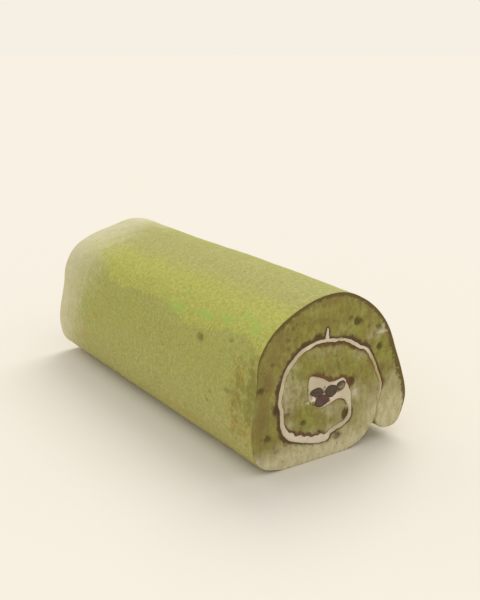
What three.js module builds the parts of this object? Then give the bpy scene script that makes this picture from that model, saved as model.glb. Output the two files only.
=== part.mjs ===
// Matcha roll cake: one sheet of green sponge rolled about two turns round whipped cream
// and sweet red beans, and cut square at both ends.
// Millimetres: x across the roll, y along it, z up. The origin is under the middle of the
// roll, on the surface that it rests on, and the cut face that shows best looks along -y.
// The section is drawn in x and z round its heart. Angles are in degrees, from +x towards +z.
import * as THREE from 'three';

// Driving dimensions
const LENGTH = 200; // cut face to cut face
const HEART = { x: -5.7, z: 32.4 }; // the point that the sponge winds round
const MEAN_RADIUS = 41; // of the outside, round the heart
const BASE = { left: -26, right: 8 }; // the flat that the cake rests on, in x
const PIECE_GAP = 0.3; // clearance between two pieces that touch
const SWELL = { width: 0.012, height: 0.010 }; // how much fuller the roll is halfway along
const BEND = 0.5; // how far the two halves lean, to opposite sides
const CENTRE = 0.84; // moves the roll across, so that the origin is under its middle
const STEPS = { length: 4, outsideDegrees: 5, creamDegrees: 7.5, beanSides: 14 };

// Radius of the roll's outside at an angle, above its underside
const OUTSIDE = [
  [-24, 52.2], [-15, 51.5], [0, 46.5], [15, 43.5], [35, 43.6], [60, 43.9], [76, 44.1],
  [90, 43.0], [110, 41.5], [135, 41.2], [150, 40.0], [165, 36.8], [180, 36.8], [203, 41.3],
];
// How much larger that radius is at the far cut than at the near one
const FAR_CHANGE = [
  [0, 0], [56, 2.6], [76, 0.6], [96, -1.8], [116, -0.8], [134, 0.4], [150, 0.3], [180, 2.4],
  [205, 2.2], [222, 0],
];
// Underside from left to right: rounded corner, flat base, and the lip of the notch
const LEFT_CORNER = [[-43.0, 11], [-41.2, 6.6], [-37.6, 3.2], [-32, 1.1]];
const NOTCH_LIP = [[12.5, 1.0], [16.8, 2.9], [20, 5.4], [22.2, 8.2]];
// Underside of the loose end of the sheet, which hangs clear beside the notch
const LOOSE_END = [[26.6, 8.4], [29, 6.2], [33, 5.2], [37.4, 5.6], [40.2, 7.4]];

// Radius of the outer side of the cream at an angle, from the notch inwards
const CREAM_START = -35;
const CREAM_LAST = 328;
const CREAM_SIDE = [
  [-35, 38.2], [-18, 34.9], [-8, 34.8], [5, 31.6], [25, 29.6], [45, 26.4], [60, 25.0],
  [78, 23.3], [100, 23.8], [130, 24.3], [152, 24.9], [180, 24.6], [192, 24.0], [220, 26.6],
  [245, 24.5], [270, 23.9], [284, 22.3], [300, 23.2], [314, 22.8], [328, 19.6],
];
const CREAM_THICKNESS = [
  [-35, 1.6], [20, 1.5], [80, 1.7], [110, 1.8], [180, 2.2], [215, 3.2], [250, 3.6],
  [275, 3.3], [295, 1.9],
];
const LOBE_START = 298; // where the inner side of the cream leaves for the end of the sponge
// A crack in the outer turn, just above the cream, with cream pressed into it
const CRACK = { from: 84.5, to: 89.5, tip: { angle: 87, radius: 28.4 }, halfWidth: 0.6 };
// Pocket in the middle: its roof, its left wall, its floor and the sponge's inner end
const POCKET = [
  [10.8, 26.5], [9.6, 30.2], [7.6, 34.4], [5.4, 36.5], [0, 36.8], [-3.4, 37.5], [-6.6, 39.8],
  [-10.4, 41.1], [-14, 40.6], [-15.2, 37], [-15.1, 31], [-13.6, 27.8], [-10.6, 26.3],
  [-8.8, 24.7], [-5.8, 24.2], [-3, 25.4], [0.2, 26.9], [3.6, 26.7], [6.7, 25], [8, 21.6],
  [7.9, 17.8], [5.9, 15.3],
];
// Beans: centre, half sizes across and up, and tilt
const BEANS = [
  { x: -10.2, z: 32.8, across: 3.5, up: 2.1, tilt: -4 },
  { x: -6.9, z: 27.7, across: 3.4, up: 2.6, tilt: 12 },
  { x: -2.4, z: 32.1, across: 2.8, up: 2.4, tilt: 0 },
  { x: 3.6, z: 33.3, across: 2.7, up: 1.7, tilt: 20 },
];

// Shape helpers

const radians = THREE.MathUtils.degToRad;
const degrees = THREE.MathUtils.radToDeg;

// Value at an angle of a table of [angle, value], along a smooth curve through its rows
function valueAt(table, angle) {
  let i = 0;
  while (i < table.length - 2 && angle > table[i + 1][0]) i += 1;
  const [a0, v0] = table[i];
  const [a1, v1] = table[i + 1];
  const before = table[Math.max(i - 1, 0)];
  const after = table[Math.min(i + 2, table.length - 1)];
  const span = a1 - a0;
  const slope0 = (v1 - before[1]) / (a1 - before[0]) * span;
  const slope1 = (after[1] - v0) / (after[0] - a0) * span;
  const t = THREE.MathUtils.clamp((angle - a0) / span, 0, 1);
  const t2 = t * t;
  const t3 = t2 * t;
  return v0 * (2 * t3 - 3 * t2 + 1) + slope0 * (t3 - 2 * t2 + t)
    + v1 * (3 * t2 - 2 * t3) + slope1 * (t3 - t2);
}

function aroundHeart(angle, radius) {
  const a = radians(angle);
  return new THREE.Vector2(HEART.x + radius * Math.cos(a), HEART.z + radius * Math.sin(a));
}

// Points at equal angles from one angle to another, both included
function sweep(from, to, step, radiusAt) {
  const count = Math.max(1, Math.round(Math.abs(to - from) / step));
  return Array.from({ length: count + 1 }, (_, i) => {
    const angle = from + (to - from) * i / count;
    return aroundHeart(angle, radiusAt(angle));
  });
}

function asPoints(pairs) {
  return pairs.map(([x, z]) => new THREE.Vector2(x, z));
}

// A smooth line through hand-set pairs, with the given number of stretches to each pair
function smoothLine(pairs, stretches) {
  const knots = pairs.map(([x, z]) => new THREE.Vector3(x, z, 0));
  const curve = new THREE.CatmullRomCurve3(knots, false, 'centripetal');
  return curve.getPoints((pairs.length - 1) * stretches).map((p) => new THREE.Vector2(p.x, p.y));
}

// The line moved sideways, to its left where the distance is positive
function movedAside(line, distance) {
  return line.map((point, i) => {
    const along = line[Math.min(i + 1, line.length - 1)].clone().sub(line[Math.max(i - 1, 0)]);
    along.normalize();
    return new THREE.Vector2(point.x - along.y * distance, point.y + along.x * distance);
  });
}

// The roll is no perfect bar: its outside changes towards the far cut, it is fuller halfway
// along, and its halves lean a little
function settle(geometry) {
  const place = geometry.attributes.position;
  for (let i = 0; i < place.count; i += 1) {
    const part = (place.getY(i) + LENGTH / 2) / LENGTH;
    const aside = place.getX(i) - HEART.x;
    const above = place.getZ(i) - HEART.z;
    const angle = THREE.MathUtils.euclideanModulo(degrees(Math.atan2(above, aside)), 360);
    const depth = Math.hypot(aside, above) / MEAN_RADIUS;
    const change = valueAt(FAR_CHANGE, angle) * part ** 1.5 * depth ** 2;
    const x = place.getX(i) + change * Math.cos(radians(angle));
    const z = place.getZ(i) + change * Math.sin(radians(angle));
    const swell = Math.sin(Math.PI * part) ** 2;
    const lean = BEND * Math.sin(2 * Math.PI * part) * z / HEART.z;
    place.setX(i, x * (1 + SWELL.width * swell) + lean + CENTRE);
    place.setZ(i, z * (1 + SWELL.height * swell));
  }
  geometry.computeVertexNormals();
  return geometry;
}

// A section drawn in x and z, run along the whole roll
function rollPiece(name, section, material) {
  const geometry = new THREE.ExtrudeGeometry(section, {
    depth: LENGTH, steps: STEPS.length, bevelEnabled: false,
  });
  geometry.rotateX(Math.PI / 2);
  geometry.translate(0, LENGTH / 2, 0);
  const mesh = new THREE.Mesh(settle(geometry), material);
  mesh.name = name;
  return mesh;
}

// The section's lines

const outsideAt = (angle) => valueAt(OUTSIDE, angle);
const creamSideAt = (angle) => valueAt(CREAM_SIDE, angle);
const creamInnerAt = (angle) => creamSideAt(angle) - valueAt(CREAM_THICKNESS, angle);

// From the foot of the loose end over the top and along the underside to the notch
function outsideLine() {
  return [
    ...asPoints(LOOSE_END),
    ...sweep(OUTSIDE[0][0], OUTSIDE.at(-1)[0], STEPS.outsideDegrees, outsideAt),
    ...asPoints(LEFT_CORNER),
    new THREE.Vector2(BASE.left, 0),
    new THREE.Vector2(BASE.right, 0),
    ...asPoints(NOTCH_LIP),
  ];
}

// The crack's two flanks and its tip
function crackLine() {
  const { tip, halfWidth } = CRACK;
  const top = aroundHeart(tip.angle, tip.radius);
  const middle = aroundHeart(tip.angle, (tip.radius + creamSideAt(tip.angle)) / 2);
  const blunt = halfWidth / 2;
  return [
    new THREE.Vector2(middle.x + halfWidth, middle.y),
    new THREE.Vector2(top.x + blunt, top.y),
    new THREE.Vector2(top.x - blunt, top.y),
    new THREE.Vector2(middle.x - halfWidth, middle.y),
  ];
}

// Round the whole of the cream: outer side inwards, the pocket, and the inner side back out
function creamLine() {
  const step = STEPS.creamDegrees;
  return [
    ...sweep(CREAM_START, CRACK.from, step, creamSideAt),
    ...crackLine(),
    ...sweep(CRACK.to, CREAM_LAST, step, creamSideAt),
    ...smoothLine(POCKET, 2),
    ...sweep(LOBE_START, CREAM_START, step, creamInnerAt),
  ];
}

function beanOutline(bean, grow) {
  const curve = new THREE.EllipseCurve(
    bean.x, bean.z, bean.across + grow, bean.up + grow, 0, 2 * Math.PI, false, radians(bean.tilt),
  );
  return curve.getPoints(STEPS.beanSides).slice(0, -1);
}

// Pieces

function sponge() {
  const slot = movedAside(creamLine(), -PIECE_GAP / 2);
  const section = new THREE.Shape([...outsideLine(), ...slot.reverse()]);
  const crumb = new THREE.MeshStandardMaterial({ color: 0x9c9a4a, roughness: 0.95, metalness: 0 });
  return rollPiece('sponge', section, crumb);
}

function creamFilling() {
  const section = new THREE.Shape(movedAside(creamLine(), PIECE_GAP / 2));
  section.holes = BEANS.map((bean) => new THREE.Path(beanOutline(bean, PIECE_GAP / 2)));
  const cream = new THREE.MeshStandardMaterial({ color: 0xd9d0b8, roughness: 0.6, metalness: 0 });
  return rollPiece('cream_filling', section, cream);
}

function redBean(bean, index) {
  const section = new THREE.Shape(beanOutline(bean, -PIECE_GAP / 2));
  const skin = new THREE.MeshStandardMaterial({ color: 0x5a3a34, roughness: 0.5, metalness: 0 });
  return rollPiece(`red_bean_${index + 1}`, section, skin);
}

const rollCake = new THREE.Group();
rollCake.add(sponge(), creamFilling(), ...BEANS.map(redBean));

export default rollCake;
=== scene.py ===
import math
import random

import bmesh
import bpy
import numpy as np
from mathutils import Matrix, Vector, kdtree, noise


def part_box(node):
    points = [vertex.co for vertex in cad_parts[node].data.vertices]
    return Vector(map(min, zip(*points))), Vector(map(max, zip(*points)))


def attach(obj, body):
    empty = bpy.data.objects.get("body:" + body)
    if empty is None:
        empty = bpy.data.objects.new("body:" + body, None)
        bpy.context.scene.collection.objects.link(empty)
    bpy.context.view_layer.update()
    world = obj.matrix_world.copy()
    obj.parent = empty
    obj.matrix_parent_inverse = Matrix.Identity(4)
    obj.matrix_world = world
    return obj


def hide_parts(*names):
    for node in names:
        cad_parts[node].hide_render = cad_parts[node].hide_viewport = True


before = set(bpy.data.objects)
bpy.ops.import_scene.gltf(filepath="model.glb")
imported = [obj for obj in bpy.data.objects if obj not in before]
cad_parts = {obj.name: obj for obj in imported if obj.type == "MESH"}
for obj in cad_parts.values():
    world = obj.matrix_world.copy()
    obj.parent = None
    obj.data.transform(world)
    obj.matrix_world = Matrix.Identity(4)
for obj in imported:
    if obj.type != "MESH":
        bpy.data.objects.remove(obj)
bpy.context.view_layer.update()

# Matcha roll cake. Shapes are worked out in millimetres and scaled to metres at the end.
# x runs across the roll, y along it and z up. Angles are in degrees round the roll's heart,
# from +x towards +z. The outside is the solid's own, and the lines inside it keep the solids'
# form with finer turns.

mm = 0.001
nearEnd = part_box("sponge")[0].y / mm
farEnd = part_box("sponge")[1].y / mm
rollLength = farEnd - nearEnd
cutSlack = 0.05  # a point this close to an end lies in that cut

camera = {
    "place": (-0.22876, -0.3704, 0.1747),
    "looks": (0.5323, 0.7993, -0.2788),
    "lens": 51.6,
    "sensor": 36,
    "reach": (0.01, 100),  # nearest and furthest that it sees, in metres
}

light = {
    "skyColour": (1.0, 0.985, 0.955),
    "sky": 0.81,
    "backdrop": (0.921, 0.863, 0.768),
    "floor": (0.86, 0.815, 0.735),
    "floorRadius": 30,  # metres
    "floorSides": 96,
    "sunColour": (1.0, 0.975, 0.93),
    "sun": 1.18,
    "sunFrom": (0.55, 0.42, 0.85),
    "sunSoftness": 38,  # degrees across
}

roll = {
    "heart": (-5.7, 32.4),
    "meanRadius": 41,
    "centre": 0.84,  # moves the roll across, so that the origin is under its middle
    "baseLeft": -26.0,
    "baseRight": 8.0,
    "swellAcross": 0.012,
    "swellUp": 0.010,
    "bend": 0.5,
    # radius of the outside at an angle, above the underside
    "outside": [
        (-24, 52.2), (-15, 51.5), (0, 46.5), (15, 43.5), (35, 43.6), (60, 43.9), (76, 44.1),
        (90, 43.0), (110, 41.5), (135, 41.2), (150, 40.0), (165, 36.8), (180, 36.8), (203, 41.3),
    ],
    # how much larger that radius is at the far cut
    "farChange": [
        (0, 0), (56, 2.6), (76, 0.6), (96, -1.8), (116, -0.8), (134, 0.4), (150, 0.3), (180, 2.4),
        (205, 2.2), (222, 0),
    ],
    "leftCorner": [(-43.0, 11), (-41.2, 6.6), (-37.6, 3.2), (-32, 1.1)],
    "notchLip": [(12.5, 1.0), (16.8, 2.9), (20, 5.4), (22.2, 8.2)],
    "looseEnd": [(26.6, 8.4), (29, 6.2), (33, 5.2), (37.4, 5.6), (40.2, 7.4)],
    # radius of the outer side of the cream, from the notch inwards, and its thickness
    "creamStart": -35,
    "creamLast": 328,
    "creamSide": [
        (-35, 38.2), (-18, 34.9), (-8, 34.8), (5, 31.6), (20, 29.9), (32, 28.6), (39, 26.5),
        (46, 25.9), (60, 24.8), (78, 23.3), (100, 23.7), (110, 23.9), (118, 24.4), (130, 24.4),
        (150, 24.7), (163, 24.2), (180, 24.5), (192, 24.0), (218, 26.9), (245, 24.8), (270, 24.6),
        (278, 24.4), (283, 22.2), (300, 22.8), (314, 22.9), (328, 19.0),
    ],
    "creamThickness": [
        (-35, 0.7), (-20, 1.0), (-5, 1.4), (8, 1.4), (20, 1.6), (38, 1.7), (60, 1.5), (100, 1.5),
        (112, 1.9), (130, 2.0), (150, 2.0), (180, 1.9), (205, 2.1), (213, 2.7), (222, 3.0),
        (250, 3.3), (270, 3.6), (277, 3.2), (284, 2.3), (300, 2.2),
    ],
    "creamUneven": 0.3,  # share by which its thickness varies, and over how many degrees
    "unevenTurn": 6,
    "lobeStart": 298,
    "lobeEnd": 304,
    "crackAngle": 87,
    "crackHeight": 5.0,
    "crackSpread": 2.9,  # degrees to each side
    "crackBlunt": 1.15,
    "crackTaper": 1.2,
    # the pocket in the middle: roof, left wall, floor and the sponge's inner end
    "pocket": [
        (10.3, 26.5), (9.3, 29.7), (7.5, 32.9), (5.3, 35.8), (0.4, 35.2), (-2.8, 35.8),
        (-5.8, 37.8), (-9.8, 39.4), (-13.0, 40.2), (-14.1, 37.2), (-14.0, 31), (-13.0, 27.9),
        (-10.6, 26.3), (-8.8, 24.7), (-5.8, 24.2), (-3, 25.0), (0.2, 26.0), (3.6, 26.2),
        (6.3, 25.3), (8.1, 22.9), (9.0, 20.0), (8.6, 17.4), (6.6, 15.2),
    ],
    "pocketWall": 10,  # the row of the pocket where its left wall ends
    "pocketTip": 18,  # the row where the sponge's inner end begins
    "waver": 0.32,  # how far the lines of the section stray
    "waverSize": 3.4,
    "waverAlong": 0.2,  # how quickly they stray along the roll, against across it
    "waverSeed": 4,
    "edgeWaver": 0.15,  # the share of it at the outside line, and the depth where it is whole
    "waverDepth": 2.0,
    # cells along the sheet's outer and inner turn, along the cream's turn and its pocket, and
    # across the crack and a little more, clear of the even cells by a share of one
    "outerCells": 320,
    "innerCells": 210,
    "creamCells": 300,
    "pocketCells": 110,
    "crackCells": 12,
    "crackRoom": 1.1,
    "crackClear": 0.3,
}


def valueAt(table, angle):
    # a smooth curve through a table's rows
    row = 0
    while row < len(table) - 2 and angle > table[row + 1][0]:
        row += 1
    a0, v0 = table[row]
    a1, v1 = table[row + 1]
    before = table[max(row - 1, 0)]
    after = table[min(row + 2, len(table) - 1)]
    span = a1 - a0
    slope0 = (v1 - before[1]) / (a1 - before[0]) * span
    slope1 = (after[1] - v0) / (after[0] - a0) * span
    t = min(max((angle - a0) / span, 0.0), 1.0)
    return (
        v0 * (2 * t**3 - 3 * t**2 + 1) + slope0 * (t**3 - 2 * t**2 + t)
        + v1 * (3 * t**2 - 2 * t**3) + slope1 * (t**3 - t**2)
    )


def aroundHeart(angle, radius):
    a = math.radians(angle)
    return (roll["heart"][0] + radius * math.cos(a), roll["heart"][1] + radius * math.sin(a))


def smoothLine(pairs, spacing=0.5):
    # a centripetal curve through given points
    knots = [Vector(p) for p in pairs]
    knots = [knots[0] * 2 - knots[1], *knots, knots[-1] * 2 - knots[-2]]
    line = [tuple(knots[1])]
    for p0, p1, p2, p3 in zip(knots, knots[1:], knots[2:], knots[3:]):
        t1 = (p1 - p0).length ** 0.5
        t2 = t1 + (p2 - p1).length ** 0.5
        t3 = t2 + (p3 - p2).length ** 0.5
        count = max(2, round((p2 - p1).length / spacing))
        for k in range(1, count + 1):
            t = t1 + (t2 - t1) * k / count
            a1 = p0 * ((t1 - t) / t1) + p1 * (t / t1)
            a2 = p1 * ((t2 - t) / (t2 - t1)) + p2 * ((t - t1) / (t2 - t1))
            a3 = p2 * ((t3 - t) / (t3 - t2)) + p3 * ((t - t2) / (t3 - t2))
            b1 = a1 * ((t2 - t) / t2) + a2 * (t / t2)
            b2 = a2 * ((t3 - t) / (t3 - t1)) + a3 * ((t - t1) / (t3 - t1))
            line.append(tuple(b1 * ((t2 - t) / (t2 - t1)) + b2 * ((t - t1) / (t2 - t1))))
    return line


def resample(line, shares):
    # points at these shares of the line's length
    points = np.array(line)
    lengths = np.hypot(*np.diff(points, axis=0).T)
    along = np.concatenate([[0], np.cumsum(lengths)])
    wanted = np.array(shares) * along[-1]
    return np.stack([np.interp(wanted, along, points[:, k]) for k in (0, 1)], 1)


def creamOuter(angle):
    nearCrack = 1 - abs(angle - roll["crackAngle"]) / roll["crackSpread"]
    crack = min(max(nearCrack * roll["crackBlunt"], 0), 1) ** roll["crackTaper"]
    return aroundHeart(angle, valueAt(roll["creamSide"], angle) + roll["crackHeight"] * crack)


def creamInner(angle):
    thickness = valueAt(roll["creamThickness"], angle)
    thickness *= 1 + roll["creamUneven"] * noise.noise(Vector((angle / roll["unevenTurn"], 3.1, 0)))
    return aroundHeart(angle, valueAt(roll["creamSide"], angle) - thickness)


def innerTurnAt(angle):
    # the inner side of the cream, and past it the sponge's inner end
    if angle <= roll["lobeStart"]:
        return creamInner(angle)
    share = (angle - roll["lobeStart"]) / (roll["lobeEnd"] - roll["lobeStart"])
    leaves = Vector(creamInner(roll["lobeStart"]))
    return tuple(leaves.lerp(Vector(roll["pocket"][-1]), share))


def outsideLine():
    # from the loose end's outer foot over the top, and under the roll to the notch
    table = roll["outside"]
    arc = [aroundHeart(a, valueAt(table, a)) for a in np.arange(table[0][0], table[-1][0], 1.0)]
    baseLeft = (roll["baseLeft"], 0.0)
    baseRight = (roll["baseRight"], 0.0)
    corner = smoothLine([arc[-1], *roll["leftCorner"], baseLeft])
    lip = smoothLine([baseRight, *roll["notchLip"], creamInner(roll["creamStart"])])
    foot = smoothLine([roll["looseEnd"][-1], arc[0]])
    return [*foot[:-1], *arc, *corner[1:], *lip]


def sharesAround(start, turn, count):
    # even shares of a turn, and closer ones where the crack is
    centre = (roll["crackAngle"] - start) / turn
    spread = roll["crackSpread"] * roll["crackRoom"] / turn
    close = np.linspace(centre - spread, centre + spread, roll["crackCells"] + 1)
    even = np.linspace(0, 1, count)
    even = even[abs(even - centre) > spread + roll["crackClear"] / count]
    return np.sort(np.concatenate([even, close]))


def bandSides():
    # both long sides of the rolled sheet, point for point: first its outer turn, then its inner
    start = roll["creamStart"]
    shares = sharesAround(start, 360, roll["outerCells"])
    outside = np.array(outsideLine())
    turned = np.degrees(np.unwrap(np.arctan2(*(outside - np.array(roll["heart"])).T[::-1])))
    wanted = turned[0] + (turned[-1] - turned[0]) * shares
    outerTurn = np.stack([np.interp(wanted, turned, outside[:, k]) for k in (0, 1)], 1)
    outerCream = np.array([creamOuter(start + 360 * s) for s in shares])
    innerAngles = np.linspace(start, roll["lobeEnd"], roll["innerCells"] + 1)[1:]
    innerTurn = np.array([innerTurnAt(a) for a in innerAngles])
    lastBit = [creamOuter(a) for a in np.arange(start + 360, roll["creamLast"], 1.0)]
    heartSide = [*lastBit, *smoothLine(roll["pocket"][: roll["pocketTip"] + 1])]
    heartShares = np.linspace(0, 1, roll["innerCells"] + 1)[1:]
    sideA = np.concatenate([outerTurn, innerTurn])
    sideB = np.concatenate([outerCream, resample(heartSide, heartShares)])
    angleA = np.concatenate([wanted, innerAngles])
    alongB = np.concatenate([start + 360 * shares, heartShares])
    return sideA, sideB, angleA, alongB, len(shares)


def creamSides():
    # both long sides of the cream, from the notch to the pocket's left wall
    start, last, lobe = roll["creamStart"], roll["creamLast"], roll["lobeStart"]
    turn = lobe - start
    shares = sharesAround(start, turn, roll["creamCells"])
    angles = start + turn * shares
    pocket = roll["pocket"]
    wall = roll["pocketWall"]
    middle = tuple((Vector(pocket[wall - 1]) + Vector(pocket[wall])) / 2)
    roof = [creamOuter(a) for a in np.arange(lobe, last, 1.0)]
    roof += smoothLine([*pocket[:wall], middle])
    floor = smoothLine([creamInner(lobe), *pocket[: wall - 1 : -1], middle])
    even = np.linspace(0, 1, roll["pocketCells"] + 1)[1:-1]
    outer = np.concatenate([[creamOuter(a) for a in angles], resample(roof, even)])
    inner = np.concatenate([[creamInner(a) for a in angles], resample(floor, even)])
    return outer, inner


farCurve = [valueAt(roll["farChange"], angle) for angle in range(361)]


def settled(points):
    # the outside changes towards the far cut, the roll is fuller halfway along,
    # and its two halves lean a little
    part = np.clip((points[:, 1] - nearEnd) / rollLength, 0, 1)
    aside = points[:, 0] - roll["heart"][0]
    above = points[:, 2] - roll["heart"][1]
    angle = np.arctan2(above, aside)
    change = np.interp(np.degrees(angle) % 360, range(361), farCurve)
    change *= part**1.5 * (np.hypot(aside, above) / roll["meanRadius"]) ** 2
    x = points[:, 0] + change * np.cos(angle)
    z = points[:, 2] + change * np.sin(angle)
    swell = np.sin(np.pi * part) ** 2
    lean = roll["bend"] * np.sin(2 * np.pi * part) * z / roll["heart"][1]
    points[:, 0] = x * (1 + roll["swellAcross"] * swell) + lean + roll["centre"]
    points[:, 2] = z * (1 + roll["swellUp"] * swell)
    return points


def wavered(points, share=1.0):
    # the section's lines stray a little, the same way in every piece
    noise.seed_set(roll["waverSeed"])
    places = points * np.array((1, roll["waverAlong"], 1)) / roll["waverSize"]
    push = np.array([noise.noise_vector(Vector(place)) for place in places]) * roll["waver"]
    push[:, 1] = 0
    return points + push * np.reshape(share, (-1, 1))


def noiseAt(points, scale, seed):
    shift = Vector((seed, seed * 1.7, seed * 0.6))
    return np.array([noise.noise(Vector(p) / scale + shift) for p in points])


def readVectors(mesh, what):
    flat = np.empty(len(mesh.vertices) * 3, np.float32)
    mesh.vertices.foreach_get(what, flat)
    return flat.reshape(-1, 3).astype(float)


def writePoints(mesh, points):
    mesh.vertices.foreach_set("co", (points * mm).astype(np.float32).ravel())
    mesh.update()


def readMask(mesh, name):
    values = np.empty(len(mesh.vertices), np.float32)
    mesh.attributes[name].data.foreach_get("value", values)
    return values.astype(float)


def setMask(mesh, name, values):
    layer = mesh.attributes.get(name) or mesh.attributes.new(name, "FLOAT", "POINT")
    layer.data.foreach_set("value", np.asarray(values, np.float32))


def dropMask(mesh, *names):
    for name in names:
        mesh.attributes.remove(mesh.attributes[name])


def toMesh(bm, name):
    mesh = bpy.data.meshes.new(name)
    bm.to_mesh(mesh)
    bm.free()
    for face in mesh.polygons:
        face.use_smooth = True
    return mesh


def addPiece(mesh, slot, materials, *nodes):
    piece = bpy.data.objects.new(mesh.name, mesh)
    bpy.context.scene.collection.objects.link(piece)
    for material in materials:
        mesh.materials.append(material)
    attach(piece, "root")
    if nodes:
        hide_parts(*nodes)
    return piece


def cutGrid(bm, columns, rows, place):
    # a grid in the near cut's plane: place gives x and z for a column and a row
    bmesh.ops.create_grid(bm, x_segments=columns, y_segments=rows, size=1)
    for vert in bm.verts:
        column = round((vert.co.x + 1) / 2 * columns)
        row = round((vert.co.y + 1) / 2 * rows)
        x, z = place(column, row)
        vert.co = (x, nearEnd, z)


def runThrough(bm, length):
    # the faces in the near cut become a closed body that runs to the far one
    far = bmesh.ops.extrude_face_region(bm, geom=bm.faces[:], use_keep_orig=True)
    verts = [g for g in far["geom"] if isinstance(g, bmesh.types.BMVert)]
    bmesh.ops.translate(bm, verts=verts, vec=(0, length, 0))
    bmesh.ops.recalc_face_normals(bm, faces=bm.faces[:])


def isCut(face):
    return abs(face.normal.y) > 0.9


def longEdges(bm):
    # the edges that run from cut to cut
    return [e for e in bm.edges if abs(e.verts[0].co.y - e.verts[1].co.y) > rollLength / 2]


def slope(values, none, full):
    # 0 up to one value, 1 past another, and even between them
    return np.clip((values - none) / (full - none), 0, 1)


def strongest(x, z, table, shape):
    # the strongest of these ovals: x, z, half width, half height, strength
    best = np.zeros(len(x))
    for cx, cz, halfWide, halfHigh, strength in table:
        away = np.hypot((x - cx) / halfWide, (z - cz) / halfHigh)
        best = np.maximum(best, strength * shape(away))
    return best


def ovalMask(x, z, table, soft):
    # spots with soft edges
    return strongest(x, z, table, lambda away: slope(away, 1 + soft, 1 - soft))


def ovalDents(x, z, table):
    # round-bottomed hollows, their strength being their depth
    return strongest(x, z, table, lambda away: slope(away**2, 1, 0) ** 0.7)


def linear(r, g, b):
    def one(value):
        share = value / 255
        return share / 12.92 if share <= 0.04045 else ((share + 0.055) / 1.055) ** 2.4
    return (one(r), one(g), one(b), 1.0)


class Tree:
    def __init__(self, tree):
        self.tree = tree

    def add(self, kind, values=None, **settings):
        node = self.tree.nodes.new(kind)
        for key, value in settings.items():
            setattr(node, key, value)
        for key, value in (values or {}).items():
            self.feed(node.inputs[key], value)
        return node

    def feed(self, socket, value):
        if isinstance(value, bpy.types.NodeSocket):
            self.tree.links.new(value, socket)
        else:
            socket.default_value = value

    def math(self, operation, a, b, clamp=False):
        return self.add("ShaderNodeMath", {0: a, 1: b}, operation=operation,
                        use_clamp=clamp).outputs[0]

    def plus(self, a, b):
        return self.math("ADD", a, b)

    def minus(self, a, b):
        return self.math("SUBTRACT", a, b)

    def times(self, a, b):
        return self.math("MULTIPLY", a, b)

    def ramp(self, value, starts, full, lowTo=0.0, highTo=1.0):
        values = {"Value": value, "From Min": starts, "From Max": full, "To Min": lowTo,
                  "To Max": highTo}
        return self.add("ShaderNodeMapRange", values, interpolation_type="SMOOTHSTEP").outputs[0]

    def blend(self, share, a, b):
        return self.add("ShaderNodeMix", {0: share, 6: a, 7: b}, data_type="RGBA").outputs[2]

    def ragged(self, name, noise, rough, starts, full, most=1.0):
        # a mask whose edge is broken up by a noise
        worn = self.plus(self.mask(name), self.times(noise, rough))
        return self.ramp(worn, starts, full, highTo=most)

    def mask(self, name):
        return self.add("ShaderNodeAttribute", attribute_name=name).outputs["Fac"]

    def place(self):
        return self.add("ShaderNodeTexCoord").outputs["Object"]

    def cloud(self, vector, scale, detail=3.0, rough=0.55, seed=0.0):
        moved = self.add("ShaderNodeMapping", {"Vector": vector, "Location": (seed, -seed, seed)})
        values = {"Vector": moved.outputs[0], "Scale": scale, "Detail": detail,
                  "Roughness": rough}
        return self.add("ShaderNodeTexNoise", values).outputs["Fac"]

    def uneven(self, vector, scale, **settings):
        # the same cloud, about nought
        return self.minus(self.cloud(vector, scale, **settings), 0.5)

    def mottle(self, vector, scale, spread, seed):
        values = {"Vector": vector, "Scale": scale, "Spread": spread, "Seed": seed}
        return self.add("ShaderNodeGroup", values, node_tree=mottleGroup).outputs[0]

    def pores(self, vector, scale, share, radius):
        values = {"Vector": vector, "Scale": scale, "Share": share, "Radius": radius}
        return self.add("ShaderNodeGroup", values, node_tree=poresGroup).outputs[0]


def newGroup(name, inputs, output):
    # inputs: name and starting value, None for a vector
    group = bpy.data.node_groups.new(name, "ShaderNodeTree")
    for label, start in inputs:
        kind = "NodeSocketVector" if start is None else "NodeSocketFloat"
        socket = group.interface.new_socket(label, in_out="INPUT", socket_type=kind)
        if start is not None:
            socket.default_value = start
    group.interface.new_socket(output, in_out="OUTPUT", socket_type="NodeSocketFloat")
    t = Tree(group)
    return group, t, t.add("NodeGroupInput").outputs, t.add("NodeGroupOutput").inputs[0]


def newMaterial(name, roughness, gloss):
    material = bpy.data.materials.new(name)
    material.use_nodes = True
    shader = material.node_tree.nodes["Principled BSDF"]
    shader.inputs["Roughness"].default_value = roughness
    shader.inputs["Specular IOR Level"].default_value = gloss
    return material, Tree(material.node_tree), shader


def finish(t, shader, colour, height, strength, depth):
    # the colour, and a fine relief of the bump's strength and depth in metres
    t.feed(shader.inputs["Base Color"], colour)
    bump = t.add("ShaderNodeBump", {"Strength": strength, "Distance": depth, "Height": height})
    t.feed(shader.inputs["Normal"], bump.outputs[0])


def makeMottleGroup():
    # soft uneven patches, from 0 to 1
    inputs = [("Vector", None), ("Scale", 200.0), ("Spread", 0.2), ("Seed", 0.0)]
    group, t, given, out = newGroup("mottle", inputs, "Mask")
    seed = t.add("ShaderNodeCombineXYZ", {0: given["Seed"], 1: given["Seed"], 2: given["Seed"]})
    moved = t.add("ShaderNodeVectorMath", {0: given["Vector"], 1: seed.outputs[0]})
    values = {"Vector": moved.outputs[0], "Scale": given["Scale"], "Detail": 4.0, "Roughness": 0.6}
    cloud = t.add("ShaderNodeTexNoise", values).outputs["Fac"]
    low = t.minus(0.5, given["Spread"])
    high = t.plus(0.5, given["Spread"])
    t.feed(out, t.ramp(cloud, low, high))
    return group


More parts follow.
